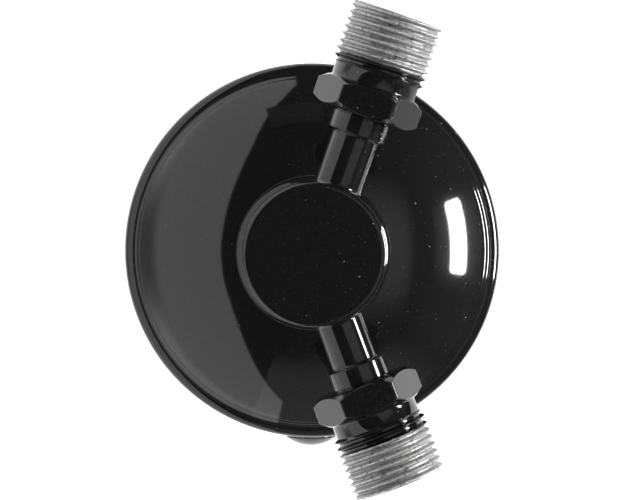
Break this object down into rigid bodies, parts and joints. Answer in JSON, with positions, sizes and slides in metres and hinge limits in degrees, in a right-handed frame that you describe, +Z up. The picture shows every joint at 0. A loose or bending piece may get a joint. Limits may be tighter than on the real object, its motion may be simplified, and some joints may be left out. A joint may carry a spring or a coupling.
{
  "type": "air conditioning accumulator",
  "caption": "Round steel refrigerant can with a domed lid and a turned top block that carries radial pipe stubs with hexagonal threaded hose fittings; gloss black with bare threads.",
  "frame": {"origin": "centre of the flat bottom, on the can's axis", "axes": "+Z up along the can, +X midway between the hose fittings, +Y towards the inlet side"},
  "size_m": [0.108, 0.1413, 0.2138],
  "materials": {
    "black_paint": "gloss black enamel",
    "fitting_steel": "turned and zinc plated steel, black paint up to the first threads",
    "tube_steel": "drawn bare tube",
    "pressed_steel": "pressed bare sheet",
    "nylon": "natural moulded",
    "screen_mesh": "fine woven mesh",
    "seal_rubber": "moulded, dull",
    "bag_felt": "needled felt"
  },
  "bodies": {
    "root": {"bleed_seal": "seal_rubber", "block_weld": "black_paint", "deflector": "pressed_steel", "desiccant_bag_left": "bag_felt", "desiccant_bag_right": "bag_felt", "filter_cage": "nylon", "filter_screen": "screen_mesh", "inlet_block_braze": "black_paint", "inlet_collar_braze": "black_paint", "inlet_fitting": "fitting_steel", "inlet_pipe": "black_paint", "leg_clip": "pressed_steel", "lower_shell": "black_paint", "lower_tie": "nylon", "outlet_block_braze": "black_paint", "outlet_collar_braze": "black_paint", "outlet_fitting": "fitting_steel", "outlet_pipe": "black_paint", "pickup_tube": "tube_steel", "rim_weld": "black_paint", "side_plug": "black_paint", "side_plug_braze": "black_paint", "top_block": "black_paint", "top_cap": "black_paint", "upper_tie": "nylon"}
  },
  "joints": []
}
